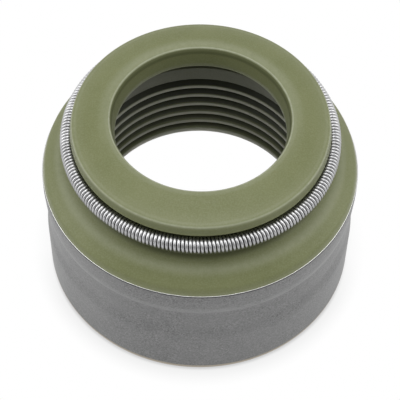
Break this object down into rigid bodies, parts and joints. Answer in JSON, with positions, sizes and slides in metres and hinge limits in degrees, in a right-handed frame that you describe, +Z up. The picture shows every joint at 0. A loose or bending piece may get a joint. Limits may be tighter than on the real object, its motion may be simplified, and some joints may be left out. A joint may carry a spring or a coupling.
{
  "type": "valve stem seal",
  "caption": "Round valve stem seal: green moulded rubber body with scraping lip, garter spring in a groove and ribbed grip, in a grey drawn steel case.",
  "frame": {"origin": "centre of the lower rim of the steel case, on the plane that the seal stands on", "axes": "+Z up along the seal's axis, from the guide's side towards the head with the lip"},
  "size_m": [0.0184, 0.0184, 0.0122],
  "materials": {
    "green_rubber": "satin",
    "case_steel": "matt phosphate grey",
    "spring_steel": "bright drawn wire"
  },
  "bodies": {
    "root": {"rubber_body": "green_rubber", "steel_case": "case_steel", "garter_spring": "spring_steel"}
  },
  "joints": []
}
